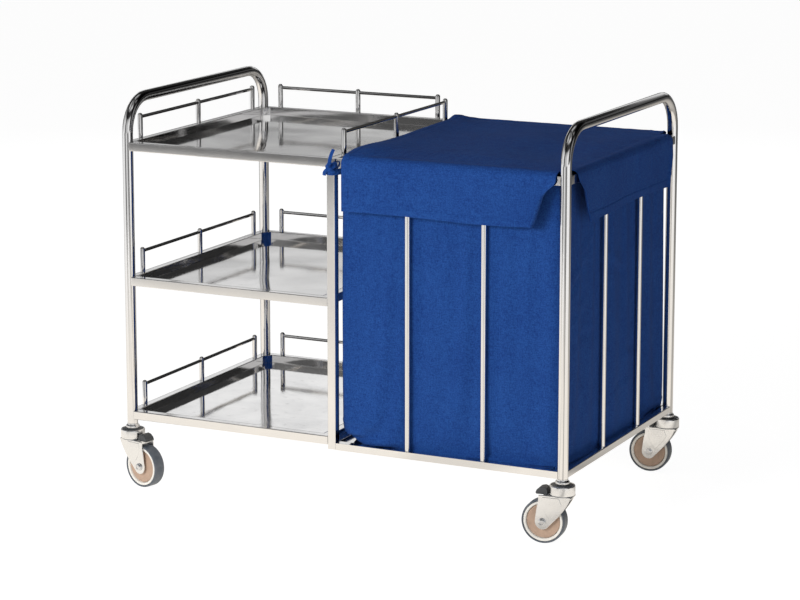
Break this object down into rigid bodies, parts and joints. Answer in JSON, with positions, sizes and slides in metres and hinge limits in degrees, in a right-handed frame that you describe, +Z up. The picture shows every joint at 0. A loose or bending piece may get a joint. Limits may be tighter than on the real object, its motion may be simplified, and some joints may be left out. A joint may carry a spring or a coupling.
{
  "type": "linen trolley",
  "caption": "Stainless tube trolley with open tray shelves and guard rails beside a caged fabric linen bag with a loose cover, on braked swivel castors.",
  "frame": {"origin": "on the floor under the middle of the trolley", "axes": "+X along the length from the shelf end to the bag end, +Y to the back, +Z up"},
  "size_m": [1.1572, 0.7222, 0.9303],
  "materials": {
    "steel_tube": "polished stainless tube",
    "steel_sheet": "mirror polished stainless sheet",
    "caster_metal": "bright zinc plated pressing",
    "axle_bolt": "plated bolt",
    "tyre": "blue grey non marking rubber",
    "wheel_hub": "off white rim with a tan hub disc",
    "brake_pedal": "dark grey moulded",
    "blue_fabric": "plain woven royal blue cotton drill",
    "blue_tape": "woven tape"
  },
  "bodies": {
    "root": {"back_bar_1": "steel_tube", "back_bar_2": "steel_tube", "back_base_rail": "steel_tube", "back_mid_post": "steel_tube", "back_upper_rail": "steel_tube", "bag_base_plate": "steel_sheet", "bottom_back_guard_rail": "steel_tube", "bottom_left_guard_rail": "steel_tube", "bottom_shelf_rim": "steel_tube", "bottom_shelf_tray": "steel_sheet", "caster_back_left_stem": "caster_metal", "caster_back_right_stem": "caster_metal", "caster_front_left_stem": "caster_metal", "caster_front_right_stem": "caster_metal", "cover_end_skirt": "blue_fabric", "front_bar_1": "steel_tube", "front_bar_2": "steel_tube", "front_base_rail": "steel_tube", "front_mid_post": "steel_tube", "front_upper_rail": "steel_tube", "left_end_frame": "steel_tube", "linen_bag": "blue_fabric", "mid_base_rail": "steel_tube", "middle_back_guard_rail": "steel_tube", "middle_left_guard_rail": "steel_tube", "middle_shelf_rim": "steel_tube", "middle_shelf_tray": "steel_sheet", "right_bar_1": "steel_tube", "right_bar_2": "steel_tube", "right_base_rail": "steel_tube", "right_end_frame": "steel_tube", "right_upper_rail": "steel_tube", "tape_tie": "blue_tape", "top_back_guard_rail": "steel_tube", "top_left_guard_rail": "steel_tube", "top_right_guard_rail": "steel_tube", "top_shelf_rim": "steel_tube", "top_shelf_tray": "steel_sheet"},
    "caster_front_left_swivel": {"caster_front_left_fork": "caster_metal", "caster_front_left_axle": "axle_bolt"},
    "caster_front_left_wheel": {"caster_front_left_wheel_hub": "wheel_hub", "caster_front_left_tyre": "tyre"},
    "caster_front_left_brake": {"caster_front_left_brake_pedal": "brake_pedal"},
    "caster_front_right_swivel": {"caster_front_right_fork": "caster_metal", "caster_front_right_axle": "axle_bolt"},
    "caster_front_right_wheel": {"caster_front_right_wheel_hub": "wheel_hub", "caster_front_right_tyre": "tyre"},
    "caster_front_right_brake": {"caster_front_right_brake_pedal": "brake_pedal"},
    "caster_back_right_swivel": {"caster_back_right_fork": "caster_metal", "caster_back_right_axle": "axle_bolt"},
    "caster_back_right_wheel": {"caster_back_right_wheel_hub": "wheel_hub", "caster_back_right_tyre": "tyre"},
    "caster_back_right_brake": {"caster_back_right_brake_pedal": "brake_pedal"},
    "caster_back_left_swivel": {"caster_back_left_fork": "caster_metal", "caster_back_left_axle": "axle_bolt"},
    "caster_back_left_wheel": {"caster_back_left_wheel_hub": "wheel_hub", "caster_back_left_tyre": "tyre"},
    "caster_back_left_brake": {"caster_back_left_brake_pedal": "brake_pedal"},
    "cover": {"bag_cover": "blue_fabric"}
  },
  "joints": [
    {"name": "front_left_swivel", "type": "hinge", "parent": "root", "child": "caster_front_left_swivel", "pos_m": [-0.55, -0.325, 0.134], "axis": [0, 0, 1], "continuous": true},
    {"name": "front_left_wheel_spin", "type": "hinge", "parent": "caster_front_left_swivel", "child": "caster_front_left_wheel", "pos_m": [-0.51136, -0.33535, 0.05], "axis": [0.2588, 0.9659, 0], "continuous": true},
    {"name": "front_left_brake_press", "type": "hinge", "parent": "caster_front_left_swivel", "child": "caster_front_left_brake", "pos_m": [-0.52006, -0.33302, 0.113], "axis": [0.2588, 0.9659, 0], "range_deg": [0, 12]},
    {"name": "front_right_swivel", "type": "hinge", "parent": "root", "child": "caster_front_right_swivel", "pos_m": [0.55, -0.325, 0.134], "axis": [0, 0, 1], "continuous": true},
    {"name": "front_right_wheel_spin", "type": "hinge", "parent": "caster_front_right_swivel", "child": "caster_front_right_wheel", "pos_m": [0.51022, -0.32918, 0.05], "axis": [0.1045, -0.9945, 0], "continuous": true},
    {"name": "front_right_brake_press", "type": "hinge", "parent": "caster_front_right_swivel", "child": "caster_front_right_brake", "pos_m": [0.51917, -0.32824, 0.113], "axis": [0.1045, -0.9945, 0], "range_deg": [0, 12]},
    {"name": "back_right_swivel", "type": "hinge", "parent": "root", "child": "caster_back_right_swivel", "pos_m": [0.55, 0.325, 0.134], "axis": [0, 0, 1], "continuous": true},
    {"name": "back_right_wheel_spin", "type": "hinge", "parent": "caster_back_right_swivel", "child": "caster_back_right_wheel", "pos_m": [0.51022, 0.32082, 0.05], "axis": [0.1045, -0.9945, 0], "continuous": true},
    {"name": "back_right_brake_press", "type": "hinge", "parent": "caster_back_right_swivel", "child": "caster_back_right_brake", "pos_m": [0.51917, 0.32176, 0.113], "axis": [0.1045, -0.9945, 0], "range_deg": [0, 12]},
    {"name": "back_left_swivel", "type": "hinge", "parent": "root", "child": "caster_back_left_swivel", "pos_m": [-0.55, 0.325, 0.134], "axis": [0, 0, 1], "continuous": true},
    {"name": "back_left_wheel_spin", "type": "hinge", "parent": "caster_back_left_swivel", "child": "caster_back_left_wheel", "pos_m": [-0.51136, 0.33535, 0.05], "axis": [-0.2588, 0.9659, 0], "continuous": true},
    {"name": "back_left_brake_press", "type": "hinge", "parent": "caster_back_left_swivel", "child": "caster_back_left_brake", "pos_m": [-0.52006, 0.33302, 0.113], "axis": [-0.2588, 0.9659, 0], "range_deg": [0, 12]},
    {"name": "cover_fold_back", "type": "hinge", "parent": "root", "child": "cover", "pos_m": [0.527, 0, 0.8245], "axis": [0, 1, 0], "range_deg": [0, 85]}
  ]
}
